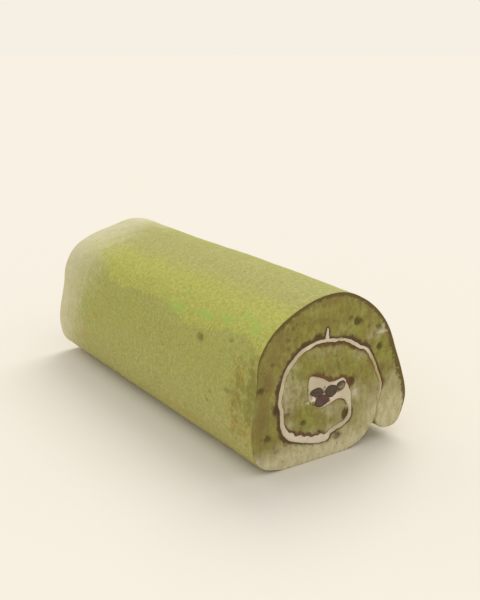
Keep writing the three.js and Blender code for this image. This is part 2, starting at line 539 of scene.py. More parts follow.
def makePoresGroup():
    # small open bubbles of uneven size: 1 in a bubble
    inputs = [("Vector", None), ("Scale", 600.0), ("Share", 0.5), ("Radius", 0.35)]
    group, t, given, out = newGroup("pores", inputs, "Mask")
    values = {"Vector": given["Vector"], "Scale": given["Scale"], "Detail": 2.0}
    bend = t.add("ShaderNodeTexNoise", values).outputs["Color"]
    push = (0.0012, 0.0012, 0.0012)  # metres that the bubbles are pushed out of round
    bent = t.add("ShaderNodeVectorMath", {0: bend, 1: push}, operation="MULTIPLY")
    moved = t.add("ShaderNodeVectorMath", {0: given["Vector"], 1: bent.outputs[0]})
    cells = t.add("ShaderNodeTexVoronoi", {"Vector": moved.outputs[0], "Scale": given["Scale"]})
    chance = t.add("ShaderNodeSeparateXYZ", {0: cells.outputs["Color"]}).outputs[0]
    isOpen = t.math("LESS_THAN", chance, given["Share"])
    size = t.times(given["Radius"], t.plus(0.4, chance))
    reach = t.math("DIVIDE", cells.outputs["Distance"], size)
    inside = t.ramp(reach, 0.4, 1.2, lowTo=1.0, highTo=0.0)
    t.feed(out, t.times(inside, isOpen))
    return group


mottleGroup = makeMottleGroup()
poresGroup = makePoresGroup()


crumbFinish = {
    "olive": linear(156, 150, 78),
    "green": linear(162, 163, 90),
    "fresh": linear(150, 153, 62),
    "brown": linear(124, 102, 60),
    "grey": linear(190, 182, 150),
    # pale: near the underside it stands for painted light reflected up from below
    "pale": linear(214, 204, 166),
    "rim": linear(104, 88, 50),
    "skin": linear(86, 66, 42),
    "redSkin": linear(116, 78, 52),
    "cream": linear(200, 190, 160),
    # hollow: painted shade in the crumb's pores and dents
    "hollow": linear(84, 74, 38),
    "drag": (1.0, 1.0, 0.55),  # the knife drags the crumb, so its patches are taller than wide
    # how much its mottling and its pores show
    "patches": 0.52,
    "specks": 0.3,
    # smallPores and largePores: painted shade in the pores
    "smallPores": 0.2,
    "largePores": 0.36,
    # soft marks: mask, colour, and the share that is left of it in a patch
    "softMarks": [("stain", "brown", 0.5), ("grey", "grey", 0.4), ("pale", "pale", 0.72)],
    # ragged marks: mask, colour, roughness of the edge, where it starts and is full, most share
    # smear: cream smears, and a painted highlight along the lower-left edge
    "marks": [("smear", "cream", 1.5, 0.2, 0.9, 0.9), ("burnt", "skin", 0.75, 0.2, 0.95, 0.9)],
    # the skin's edge: how frayed it is, and how far over it the skin is full and ends
    "frayed": 2.6,
    "skinEdge": (-0.7, 0.8),
    "skinShare": 0.92,
    "thinSkin": 0.5,  # skin thinner than this shows less
}


def makeCrumb():
    material, t, shader = newMaterial("matchaCrumb", roughness=0.92, gloss=0.2)
    look = crumbFinish
    place = t.place()
    dragged = t.add("ShaderNodeMapping", {"Vector": place, "Scale": look["drag"]}).outputs[0]
    broad = t.mottle(dragged, scale=130.0, spread=0.12, seed=3.0)
    middle = t.mottle(dragged, scale=330.0, spread=0.13, seed=5.0)
    fine = t.mottle(place, scale=620.0, spread=0.18, seed=7.0)
    colour = t.blend(broad, look["olive"], look["green"])
    colour = t.blend(t.mask("fresh"), colour, look["fresh"])
    colour = t.blend(t.times(middle, look["patches"]), colour, look["brown"])
    colour = t.blend(t.times(fine, look["specks"]), colour, look["brown"])
    for mask, shade, left in look["softMarks"]:
        share = t.times(t.mask(mask), t.ramp(middle, 0.0, 1.0, lowTo=1.0, highTo=left))
        colour = t.blend(share, colour, look[shade])
    # pores and dents darkened with the hollow colour: painted shade inside them
    small = t.pores(place, scale=760.0, share=0.5, radius=0.40)
    large = t.pores(place, scale=300.0, share=0.35, radius=0.30)
    smallShown = t.times(small, look["smallPores"])
    largeShown = t.times(large, look["largePores"])
    colour = t.blend(t.math("MAXIMUM", smallShown, largeShown), colour, look["hollow"])
    hollow = t.ragged("hollow", fine, rough=0.25, starts=0.2, full=1.1, most=0.85)
    colour = t.blend(hollow, colour, look["hollow"])
    torn = t.uneven(place, scale=420.0, detail=5.0, rough=0.65, seed=2.0)
    for mask, shade, *edge in look["marks"]:
        colour = t.blend(t.ragged(mask, torn, *edge), colour, look[shade])
    # brown baked skin, ragged on the side of the crumb
    frayed = t.uneven(place, scale=430.0, detail=4.0, rough=0.65, seed=2.0)
    depth = t.mask("skinDepth")
    edge = t.times(depth, t.plus(1.0, t.times(frayed, look["frayed"])))
    over = t.minus(t.mask("skinGap"), edge)
    skin = t.ramp(over, *look["skinEdge"], lowTo=look["skinShare"], highTo=0.0)
    skin = t.times(skin, t.math("DIVIDE", depth, look["thinSkin"], clamp=True))
    baked = t.blend(t.mask("redness"), look["skin"], look["redSkin"])
    colour = t.blend(skin, colour, t.blend(t.mask("rim"), baked, look["rim"]))
    height = t.times(t.plus(small, large), -0.6)
    height = t.plus(height, t.cloud(place, scale=1100.0, detail=4.0, rough=0.7))
    finish(t, shader, colour, height, strength=0.6, depth=0.0004)
    return material


dustFinish = {
    "top": linear(190, 186, 119),
    # the shoulder's yellower colour is partly painted light on the upper slope
    "litShoulder": linear(197, 197, 104),
    "side": linear(184, 183, 106),
    "low": linear(194, 185, 122),
    # a painted pale glow towards the far end
    "farGlow": linear(220, 212, 180),
    "green": linear(165, 192, 92),
    "toasted": linear(180, 150, 76),
    "deep": linear(132, 134, 58),
    "speck": linear(120, 122, 58),
    "dark": linear(134, 128, 66),
    # angles where the shoulder's colour, partly painted light, and the low side's colour start and
    # are full
    "shoulderTurn": (102.0, 124.0),
    "lowTurn": (168.0, 208.0),
    "lowShare": 0.7,
    "turnRough": 36.0,  # degrees that these lines stray
    # degrees that the shoulder's foot strays, in crumbs and in lumps, and how sharp it is
    "footCrumbs": 6.5,
    "footLumps": 15.0,
    "footEdge": (-0.5, 0.6),
    # how much its mottling and its grain show
    "patches": 0.2,
    "specks": 0.34,
    # ragged marks, as the crumb's
    "marks": [
        ("bloom", "green", 2.6, 0.25, 0.75, 0.65), ("toasted", "toasted", 2.2, 0.2, 0.9, 0.6),
        ("dark", "dark", 1.6, 0.2, 0.9, 0.85),
    ],
    # how lumps and crumbs of dusting break up the painted pale glow at the far end
    "glowLumps": 0.9,
    "glowCrumbs": 0.7,
}


def makeDusting():
    material, t, shader = newMaterial("matchaDusting", roughness=0.95, gloss=0.15)
    look = dustFinish
    place = t.place()
    fine = t.mottle(place, scale=400.0, spread=0.2, seed=5.0)
    grain = t.mottle(place, scale=850.0, spread=0.14, seed=9.0)
    lumpy = t.uneven(place, scale=110.0, detail=6.0, rough=0.7)
    crumbly = t.uneven(place, scale=360.0, detail=4.0, rough=0.65, seed=3.0)
    # a yellower, brighter shoulder, soft above and with a ragged foot: partly the dusting's own
    # colour and partly painted light on the upper slope, its foot a painted edge between light and
    # shade
    turned = t.plus(t.mask("turned"), t.times(lumpy, look["turnRough"]))
    litShoulder = t.ramp(turned, *look["shoulderTurn"])
    colour = t.blend(litShoulder, look["top"], look["litShoulder"])
    foot = t.plus(t.mask("pastShoulder"), t.times(crumbly, look["footCrumbs"]))
    foot = t.plus(foot, t.times(lumpy, look["footLumps"]))
    colour = t.blend(t.ramp(foot, *look["footEdge"]), colour, look["side"])
    low = t.ramp(turned, *look["lowTurn"], highTo=look["lowShare"])
    colour = t.blend(low, colour, look["low"])
    colour = t.blend(t.times(fine, look["patches"]), colour, look["deep"])
    colour = t.blend(t.times(grain, look["specks"]), colour, look["speck"])
    for mask, shade, *edge in look["marks"]:
        colour = t.blend(t.ragged(mask, crumbly, *edge), colour, look[shade])
    # painted shade in the pits
    colour = t.blend(t.mask("hollow"), colour, look["speck"])
    # a painted pale glow towards the far end, broken up by lumps and crumbs
    worn = t.times(lumpy, look["glowLumps"])
    worn = t.plus(worn, t.times(crumbly, look["glowCrumbs"]))
    farGlow = t.ragged("farGlow", worn, rough=1.0, starts=0.05, full=1.15, most=0.84)
    colour = t.blend(farGlow, colour, look["farGlow"])
    height = t.cloud(place, scale=900.0, detail=5.0, rough=0.7)
    height = t.plus(height, t.times(fine, 0.5))
    finish(t, shader, colour, height, strength=0.45, depth=0.0003)
    return material


creamFinish = {
    "cream": linear(226, 214, 190),
    "shade": linear(202, 190, 160),
    "dull": linear(188, 175, 142),
    "tan": linear(180, 158, 108),
    "crumb": linear(178, 168, 118),
    "olive": linear(144, 134, 72),
    # painted shade beside and between the beans, and a brown smudge on the pocket's left wall
    "beanShadeAndSmudge": linear(120, 96, 68),
    "patches": 0.6,  # how much its mottling and its bits of crumb show
    "bits": 0.35,
    "marks": [("covered", "crumb"), ("crumbed", "olive"), ("beanShadeAndSmudge", "beanShadeAndSmudge")],
    # how much light goes in, and how far in metres
    "soaksIn": 0.2,
    "soaksInRadius": (0.0016, 0.0014, 0.0010),
}


def makeCream():
    material, t, shader = newMaterial("whippedCream", roughness=0.55, gloss=0.4)
    look = creamFinish
    place = t.place()
    soft = t.mottle(place, scale=260.0, spread=0.25, seed=2.0)
    colour = t.blend(t.times(soft, look["patches"]), look["cream"], look["shade"])
    bits = t.pores(place, scale=900.0, share=0.3, radius=0.3)
    colour = t.blend(t.times(bits, look["bits"]), colour, look["crumb"])
    colour = t.blend(t.mask("dull"), colour, look["dull"])
    colour = t.blend(t.mask("tan"), colour, look["tan"])
    torn = t.uneven(place, scale=500.0, detail=4.0, rough=0.6, seed=2.0)
    for mask, shade in look["marks"]:
        share = t.ragged(mask, torn, rough=1.0, starts=0.3, full=0.7)
        colour = t.blend(share, colour, look[shade])
    height = t.cloud(place, scale=700.0, detail=3.0, rough=0.5)
    finish(t, shader, colour, height, strength=0.3, depth=0.0003)
    shader.inputs["Subsurface Weight"].default_value = look["soaksIn"]
    shader.inputs["Subsurface Radius"].default_value = look["soaksInRadius"]
    shader.inputs["Subsurface Scale"].default_value = 1.0
    return material


beanFinish = {
    "skin": linear(72, 57, 42),
    "plum": linear(88, 48, 52),
    "paste": linear(88, 70, 48),
    "pale": linear(142, 122, 90),
}


def makeBeanFinish():
    material, t, shader = newMaterial("redBean", roughness=0.5, gloss=0.4)
    look = beanFinish
    place = t.place()
    soft = t.mottle(place, scale=420.0, spread=0.2, seed=4.0)
    colour = t.blend(t.mask("plum"), look["skin"], look["plum"])
    colour = t.blend(t.times(t.mask("paste"), soft), colour, look["paste"])
    colour = t.blend(t.mask("pale"), colour, look["pale"])
    height = t.cloud(place, scale=800.0, detail=4.0, rough=0.6)
    finish(t, shader, colour, height, strength=0.4, depth=0.0003)
    return material


crumbMaterial = makeCrumb()
dustMaterial = makeDusting()
creamMaterial = makeCream()
beanMaterial = makeBeanFinish()
print("finishes made")


sponge = {
    "rows": 26,  # cells between the two sides of the sheet
    "lengthSteps": 130,
    "slotSteps": 4,
    "rim": 0.3,  # how much the cut edges are rounded
    "edgeReach": 0.45,  # what lies this close to the outside line is dusted
    # how far along the sheet its loose end and its inner end draw it into their own shapes
    "tailReach": 12.0,
    "tipReach": 8.0,
    # depth of the brown skin: along the outside and round both sides of the cream, at angles,
    # and along the pocket, at shares of its length
    "rimSkin": [
        (-35, 0.1), (-24, 0.5), (-12, 2.2), (0, 2.8), (12, 2.8), (25, 2.4), (40, 1.9), (60, 1.8),
        (75, 1.7), (90, 1.8), (105, 1.6), (120, 1.9), (135, 1.5), (150, 0.9), (162, 0.5),
        (175, 0.3), (190, 0.0), (330, 0.0),
    ],
    "turnSkin": [
        (-35, 0.0), (-16, 0.0), (-8, 0.8), (5, 1.0), (15, 0.7), (25, 1.2), (35, 1.9), (45, 2.0),
        (60, 1.5), (66, 1.1), (72, 1.1), (79, 0.9), (84, 1.2), (86, 0.9), (88, 0.9), (91, 1.7),
        (97, 2.6), (105, 2.3), (113, 2.5), (122, 1.9), (140, 1.4), (158, 1.7), (166, 2.4),
        (175, 1.6), (190, 1.6), (205, 1.8), (225, 1.8), (245, 0.8), (262, 0.5), (272, 0.5),
        (278, 0.8), (288, 1.0), (300, 0.4), (312, 0.8), (325, 0.8),
    ],
    "innerSkin": [
        (-35, 0.0), (-10, 0.0), (0, 0.4), (20, 0.6), (40, 1.3), (55, 1.4), (80, 1.8), (100, 1.5),
        (112, 0.5), (140, 0.0), (180, 0.0), (205, 0.4), (222, 1.4), (245, 1.8), (258, 1.3),
        (268, 1.1), (278, 0.5), (290, 0.2), (304, 0.3),
    ],
    "heartSkin": [
        (0, 0.0), (0.08, 0.0), (0.13, 0.3), (0.165, 1.6), (0.2, 1.8), (0.26, 1.5), (0.34, 2.1),
        (0.44, 2.3), (0.49, 1.2), (0.53, 0.3), (0.65, 0.2), (0.75, 0.0), (0.9, 0.3), (1.0, 0.6),
    ],
    "redness": {"rimSkin": 0.0, "innerSkin": 0.6, "turnSkin": 0.1, "heartSkin": 0.9},
    # how deep the cuts are torn, and how near an edge or the cream that dies away
    "torn": {
        "hollow": 0.8, "small": 0.7, "broad": 0.22, "broadSize": 7.0, "fine": 0.18,
        "fineSize": 1.9, "nearEdge": 0.8, "nearCream": 0.5,
    },
    "smallBubbles": (170, 0.9, 0.7),  # how many, size, strength
    # smallShade: painted shade in the small bubbles
    "smallShade": 0.6,
    "smallSoftness": 0.35,
    "nearSeed": 3,
    "farSeed": 21,
    # the crumb gets paler near the underside, which is painted light reflected up from below,
    # towards the loose end and under the pocket: how much, and where it begins and is full in x and
    # z
    "pale": {
        "low": {"share": 0.95, "beginsX": (-34, -24), "beginsZ": (12.5, 17), "fullZ": 5},
        "right": {"share": 0.85, "x": (9, 25), "z": (33, 15)},
        "inner": {"share": 0.25, "x": (-6, 4), "z": (30, 20)},
    },
    # how soft the edges of the marks are
    "softness": {
        "hollow": 0.45, "stain": 0.6, "grey": 0.6, "burnt": 0.5, "fresh": 0.7, "smear": 0.6,
    },
    # marks on the near cut: x, z, half width, half height, strength
    "hollow": [
        (12.8, 60.8, 2.4, 1.9, 0.95), (8.5, 63, 1.7, 1.4, 0.6), (26.3, 46.5, 2.1, 1.6, 0.9),
        (25.0, 56.4, 1.9, 1.2, 0.7), (29.4, 28.4, 1.7, 2.0, 0.4), (-32.8, 49.6, 1.5, 1.2, 0.6),
        (-39.4, 39.4, 2.3, 1.6, 0.8), (-31.2, 28.4, 2.0, 2.4, 0.6), (-35.2, 16.6, 2.4, 1.4, 0.8),
        (-16.3, 19.4, 1.7, 1.3, 0.8), (7.0, 18.1, 1.7, 3.2, 1.0), (2.8, 8.8, 2.6, 1.4, 0.35),
        (9.0, 34.0, 2.0, 1.5, 0.5), (12.2, 22.4, 1.7, 1.2, 0.35), (10.5, 48.8, 1.9, 1.1, 0.6),
        (-8.5, 58.4, 2.6, 1.1, 0.4), (-31, 9.8, 2.0, 1.1, 0.45), (-25.4, 25.2, 2.0, 1.2, 0.5),
        (2.6, 42.3, 0.8, 2.2, 0.45), (-7, 13.2, 2.4, 0.8, 0.6), (-25.6, 58.8, 1.5, 1.3, 0.5),
        (-25.4, 55.2, 1.4, 1.1, 0.45), (-23.5, 66.8, 1.6, 0.9, 0.4), (1, 46.8, 1.6, 1.0, 0.4),
    ],
    "stain": [
        (-36, 42.5, 3.6, 4.4, 0.9), (-39, 26, 3.8, 9, 0.75), (-36, 14, 5, 3, 0.4),
        (-29, 60, 6, 5, 0.45), (-34, 52, 3, 4, 0.5), (-20.6, 66, 4, 2.6, 0.35),
        (27.8, 36.2, 2.4, 2.6, 0.3), (32.4, 33, 2.6, 2.2, 0.5), (38.5, 26, 3.6, 1.6, 0.6),
        (24.4, 24.6, 3.4, 3.2, 0.85), (-13.2, 31, 1.8, 3.2, 0.35), (-24.5, 25.6, 3.4, 2.8, 0.7),
        (3.5, 19.5, 5.0, 4.4, 0.45), (12.2, 19.6, 1.5, 4.0, 0.6), (22.5, 27, 2.6, 4, 0.35),
        (22, 38.5, 3, 2.6, 0.4), (0, 66, 8, 5, 0.12), (-3, 72.2, 10, 2.2, 0.45),
        (-40.5, 37, 1.8, 2.2, 0.5), (-31, 10.6, 2.2, 2.8, 0.45),
    ],
    "grey": [
        (-25.6, 34.5, 4.4, 9.2, 0.82), (-22, 46.4, 2.6, 2.2, 0.35), (-4, 50.4, 8, 1.8, 0.3),
        (15.5, 45.6, 4.2, 2.6, 0.6), (23.6, 53.6, 5, 2.6, 0.4), (13.6, 28.0, 3.8, 4.4, 0.55),
        (-24.5, 19, 3.2, 3.4, 0.5), (-13, 8.6, 9, 1.4, 0.4), (-17, 30, 4.4, 2.4, 0.4),
        (-27, 30, 2.2, 3.4, 0.7), (-20, 35.5, 5, 4.5, 0.5), (-1.5, 22.4, 4.6, 2.8, 0.6),
        (3, 24.4, 4, 1.4, 0.35), (36, 30, 4, 6, 0.4), (1, 14.2, 4, 1.0, 0.5),
    ],
    "burnt": [
        (9.4, 33.1, 2.9, 2.3, 1.0), (-31.2, 28.8, 2.3, 2.6, 0.9), (-25.8, 11.8, 1.9, 1.5, 0.6),
        (-8.5, 58.2, 3.2, 1.4, 0.6), (28.2, 36.2, 2.0, 2.2, 0.4), (29.4, 28.8, 1.9, 2.4, 0.6),
        (12.3, 22.4, 2.0, 1.6, 0.35), (2.5, 8.8, 3.0, 2.2, 0.7), (-26.2, 24.5, 1.7, 2.2, 0.45),
        (-16.5, 55, 3.0, 1.6, 0.6), (10.5, 48.8, 2.0, 1.2, 0.5), (-0.8, 57.6, 1.8, 1.2, 0.5),
        (18, 50.6, 3.2, 1.6, 0.45), (29.4, 58.6, 2.0, 3.0, 0.5),
    ],
    "fresh": [
        (-16, 24, 5, 5, 0.5), (-13.5, 63, 9, 4, 0.5), (28, 44, 4, 6, 0.6),
        (-40.6, 48, 2, 4.4, 0.7), (-32.8, 22.6, 1.3, 4, 0.6), (3, 66.5, 10, 5, 0.5),
        (-14, 44, 6, 3.4, 0.45), (8, 41, 5, 4, 0.4), (35, 38, 2.2, 6, 0.4),
        (-19, 56.8, 3.4, 2.6, 0.5), (15, 56, 5, 3, 0.4), (19.5, 37, 3, 4, 0.4),
        (18, 14, 5, 5, 0.4),
    ],
    "smear": [
        (28.0, 53.3, 4.2, 0.9, 0.9), (28.2, 56.0, 1.2, 1.5, 0.7), (20, 51.6, 2.4, 1.2, 0.4),
        # the three at the lower-left edge, from (-40.6, 6.8) on, are a painted highlight along that
        # edge; the others are cream smears
        (-13.6, 28.3, 2.4, 0.7, 0.85), (12.2, 27.0, 2.4, 3.3, 0.68), (-40.6, 6.8, 1.4, 1.8, 0.7),
        (-37.6, 4.0, 2.2, 1.2, 0.7), (-33.6, 2.4, 3, 1.0, 0.6),
    ],
    # the same for the far cut, scattered: how many, size, strength
    "farMarks": {
        "hollow": (20, 2.0, 1.0), "stain": (14, 5.0, 0.8), "grey": (8, 5.0, 0.8),
        "burnt": (6, 2.4, 0.9), "fresh": (12, 5.0, 0.7), "smear": (7, 1.8, 0.9),
    },
    "farMarksSeed": 5,
    # where marks are scattered on a cut, and how their sizes and strengths vary
    "scatter": {"x": (-43, 43), "z": (2, 75), "sizes": (0.5, 1.4), "strengths": (0.4, 1)},
}

skinRelief = {
    "lumps": {26.0: 0.30, 9.0: 0.14, 2.6: 0.06},  # size and height
    "endFade": 3.0,  # how far from the cuts and from the ground it dies away
    "groundFade": 4.0,
    "depth": 0.4,  # how far under the outside line it reaches
    # scattered pits: how many, their angles, half lengths, half heights in degrees and depths
    "pits": 40,
    "seed": 11,
    "pitAngles": (-20, 205),
    "pitLengths": (0.6, 1.3),
    "pitHeights": (0.8, 1.8),
    "pitDepths": (0.15, 0.35),
    # pitShade and pitShadeMost: painted shade in a pit, by its depth
    "pitShade": 1.2,  # how much a pit darkens for each millimetre, and at most
    "pitShadeMost": 0.5,
    # marked pits: y, angle, half length, half height in degrees, depth
    "marked": [
        (-54, 153, 3.0, 3.0, 0.5), (-77, 146, 2.0, 1.6, 0.25), (-79, 178.5, 1.8, 2.4, 0.35),
        (-66, 186, 1.4, 1.6, 0.3), (-64, 192, 1.3, 1.5, 0.3),
    ],
}

dusting = {
    # the angle where the yellower shoulder and its painted light end, along the roll, and where
    # that line blurs
    "shoulderFoot": [
        (-100, 148), (-88, 140), (-76, 140), (-62, 145), (-40, 150), (-22, 143), (8, 142),
        (20, 144), (40, 144), (50, 137), (70, 132), (100, 126),
    ],
    "blurs": (40.0, 70.0),
    "blur": 5.0,
    # angle, and where along the roll a painted pale glow begins towards the far end
    "glowFrom": [(90, 49), (104, 45), (128, 43), (140, 38), (154, 40), (168, 57), (270, 60)],
    "glowCurve": 0.9,
    "softness": 0.6,
    # places on the outside: y, angle, half length, half height in degrees, strength
    "bloom": [
        (-88, 133, 5, 5, 0.75), (-80, 128.6, 6, 1.8, 0.8), (-68, 136, 5.5, 3.4, 0.9),
        (-52, 138.6, 7.5, 2.8, 0.9), (-28.5, 142.4, 7.5, 3.6, 0.9), (-10, 139, 3, 1.6, 0.5),
        (40, 46, 12, 7, 0.6), (-20, 52, 9, 6, 0.6), (-66, 40, 8, 5, 0.7),
    ],
    "toasted": [
        (-88, 162, 3.6, 4.6, 0.9), (-83, 183, 3.6, 4.0, 0.85), (-87, 196, 4.4, 4.8, 0.9),
        (-87, 178, 8, 24, 0.55), (-96, 197, 6, 8, 0.7), (53, 177.5, 4.6, 2.2, 0.8),
        (66, 196, 4.6, 2.6, 0.75), (-50, 209, 38, 2.4, 0.5), (84, 8, 8, 8, 0.6),
        (-62, 18, 6, 5, 0.5), (90, 44, 7, 8, 0.5), (-92, 4, 5, 12, 0.6),
    ],
    # the five dark marks on the marked pits are painted shade in them
    "dark": [
        (-54, 153, 3.4, 3.4, 0.7), (-97, 173, 6.0, 26, 0.8), (-88, 178, 8, 28, 0.6),
        (-79, 178.5, 2.4, 2.6, 0.65), (-66, 186, 1.6, 1.6, 0.6), (-64, 192, 1.4, 1.6, 0.5),
        (-77, 146, 2.2, 1.6, 0.5), (-97, 6, 4, 16, 0.6),
    ],
}


def treeOf(line):
    tree = kdtree.KDTree(len(line))
    for k, point in enumerate(line):
        tree.insert((point[0], point[1], 0), k)
    tree.balance()
    return tree


def distanceTo(line):
    tree = treeOf(line)
    return lambda x, z: tree.find((x, z, 0))[2]


def skinAt(sideA, sideB, angleA, alongB, firstTurn):
    # the skin on whichever side of the sheet is nearer: depth, redness, and if it is the rim's
    treeA, treeB = treeOf(sideA), treeOf(sideB)

    def look(x, z):
        _, atA, gapA = treeA.find((x, z, 0))
        _, atB, gapB = treeB.find((x, z, 0))
        if gapA < gapB:
            kind = "rimSkin" if atA < firstTurn else "innerSkin"
            depth = valueAt(sponge[kind], angleA[atA])
        else:
            kind = "turnSkin" if atB < firstTurn else "heartSkin"
            depth = valueAt(sponge[kind], alongB[atB])
        return max(depth, 0), sponge["redness"][kind], float(kind == "rimSkin")

    return look


def makeSpongeSection(bm):
    sideA, sideB, angleA, alongB, firstTurn = bandSides()
    columns, rows = len(sideA) - 1, sponge["rows"]
    shares = np.linspace(0, 1, rows + 1)
    tail = resample(smoothLine([tuple(sideB[0]), *roll["looseEnd"]]), shares)
    tip = resample(smoothLine(roll["pocket"][roll["pocketTip"]:]), shares)
    middle = (sideA + sideB) / 2
    along = np.concatenate([[0], np.cumsum(np.hypot(*np.diff(middle, axis=0).T))])
    tailPull = np.clip(1 - along / sponge["tailReach"], 0, 1) ** 2
    tipPull = np.clip(1 - (along[-1] - along) / sponge["tipReach"], 0, 1) ** 2

    def place(column, row):
        def across(k):
            return sideB[k] + (sideA[k] - sideB[k]) * shares[row]
        atTail = tail[row] - across(0)
        atTip = tip[row] - across(-1)
        return across(column) + atTail * tailPull[column] + atTip * tipPull[column]

    layers = {name: bm.verts.layers.float.new(name)
              for name in ("creamGap", "edgeGap", "skinDepth", "redness", "rim")}
    cutGrid(bm, columns, rows, place)
    toCream = distanceTo([*sideB, *sideA[firstTurn:], *tip])
    toEdge = distanceTo([*sideA[:firstTurn], *tail])
    skin = skinAt(sideA, sideB, angleA, alongB, firstTurn)
    for vert in bm.verts:
        x, _, z = vert.co
        for layer, value in zip(layers.values(), (toCream(x, z), toEdge(x, z), *skin(x, z))):
            vert[layer] = value
    return layers


def makeSponge():
    bm = bmesh.new()
    layers = makeSpongeSection(bm)
    runThrough(bm, rollLength)
    bm.normal_update()
    rimEdges = [e for e in bm.edges if len(e.link_faces) == 2
                and isCut(e.link_faces[0]) != isCut(e.link_faces[1])]
    bmesh.ops.bevel(bm, geom=rimEdges, offset=sponge["rim"], offset_type="OFFSET", segments=2,
                    profile=0.5, affect="EDGES", material=-1)
    edgeGap, creamGap = layers["edgeGap"], layers["creamGap"]
    outer = []
    inner = []
    for edge in longEdges(bm):
        vert = edge.verts[0]
        isOuter = vert[edgeGap] < sponge["edgeReach"] and vert[edgeGap] <= vert[creamGap]
        (outer if isOuter else inner).append(edge)
    bmesh.ops.subdivide_edges(bm, edges=inner, cuts=sponge["slotSteps"] - 1)
    bmesh.ops.subdivide_edges(bm, edges=outer, cuts=sponge["lengthSteps"] - 1)
    bm.normal_update()
    for face in bm.faces:
        onEdge = all(v[edgeGap] < sponge["edgeReach"] for v in face.verts)
        face.material_index = 1 if onEdge and abs(face.normal.y) < 0.5 else 0
    mesh = toMesh(bm, "spongeRoll")
    shapeSponge(mesh)
    return addPiece(mesh, "sponge", [crumbMaterial, dustMaterial], "sponge")


def scattered(seed, count, size, strength):
    rng = random.Random(seed)
    x, z, sizes, strengths = sponge["scatter"].values()
    return [(rng.uniform(*x), rng.uniform(*z), size * rng.uniform(*sizes),
             size * rng.uniform(*sizes), strength * rng.uniform(*strengths))
            for _ in range(count)]


def cutMarks(x, z, creamGap, edgeGap, near):
    # how far the crumb is torn in at a cut, and its marks
    flat = np.stack([x, np.zeros(len(x)), z], 1)
    seed = sponge["nearSeed"] if near else sponge["farSeed"]
    kinds = sponge["farMarks"]
    tables = {kind: sponge[kind] if near else scattered(sponge["farMarksSeed"] + k, *kinds[kind])
              for k, kind in enumerate(kinds)}
    small = scattered(seed, *sponge["smallBubbles"])
    torn = sponge["torn"]
    depth = torn["hollow"] * ovalDents(x, z, tables["hollow"])
    depth += torn["small"] * ovalDents(x, z, small)
    depth += (torn["broad"] * noiseAt(flat, torn["broadSize"], seed)
              + torn["fine"] * noiseAt(flat, torn["fineSize"], seed + 4))
    depth *= slope(edgeGap, 0, torn["nearEdge"]) * slope(creamGap, 0, torn["nearCream"])
    marks = {kind: ovalMask(x, z, tables[kind], sponge["softness"][kind]) for kind in kinds}
    # the hollow mask is painted shade in the dents and small bubbles
    smallMarks = sponge["smallShade"] * ovalMask(x, z, small, sponge["smallSoftness"])
    marks["hollow"] = np.maximum(marks["hollow"], smallMarks)
    # paler towards the underside: painted light reflected from below; also paler towards the loose
    # end and under the pocket
    low, right, inner = (sponge["pale"][part] for part in ("low", "right", "inner"))
    begins = np.interp(x, low["beginsX"], low["beginsZ"])
    marks["pale"] = np.max([
        low["share"] * slope(z, begins, low["fullZ"]),
        right["share"] * slope(z, *right["z"]) * slope(x, *right["x"]),
        inner["share"] * slope(z, *inner["z"]) * slope(x, *inner["x"]),
    ], axis=0)
    return depth, marks


def allPits():
    look = skinRelief
    rng = random.Random(look["seed"])
    pits = [(rng.uniform(nearEnd, farEnd), rng.uniform(*look["pitAngles"]) % 360,
             rng.uniform(*look["pitLengths"]), rng.uniform(*look["pitHeights"]),
             rng.uniform(*look["pitDepths"])) for _ in range(look["pits"])]
    return [*pits, *look["marked"]]


def outsideLift(shell, turned, pits):
    look = skinRelief
    lift = np.zeros(len(shell))
    for k, (size, height) in enumerate(look["lumps"].items()):
        lift += height * noiseAt(shell, size, 2.0 + 3.0 * k)
    pitDepth = ovalDents(shell[:, 1], turned, pits)
    fade = slope(rollLength / 2 - abs(shell[:, 1]), 0, look["endFade"])
    fade *= slope(shell[:, 2], 0, look["groundFade"])
    return (lift - pitDepth) * fade, pitDepth


def dustMasks(y, turned):
    # both long sides are dusted alike, the shoulder's painted light too, so the right one reads the
    # left one's angles
    mirrored = np.where((turned < 90) | (turned > 270), (540 - turned) % 360, turned)
    foot = np.interp(y, *zip(*dusting["shoulderFoot"]))
    blur = 1 + dusting["blur"] * slope(y, *dusting["blurs"])
    start = np.interp(mirrored, *zip(*dusting["glowFrom"]))
    masks = {kind: ovalMask(y, turned, dusting[kind], dusting["softness"])
             for kind in ("bloom", "toasted", "dark")}
    masks["turned"] = mirrored
    masks["pastShoulder"] = (mirrored - foot) / blur
    # painted pale glow, growing towards the far end
    masks["farGlow"] = slope(y, start, farEnd) ** dusting["glowCurve"]
    return masks


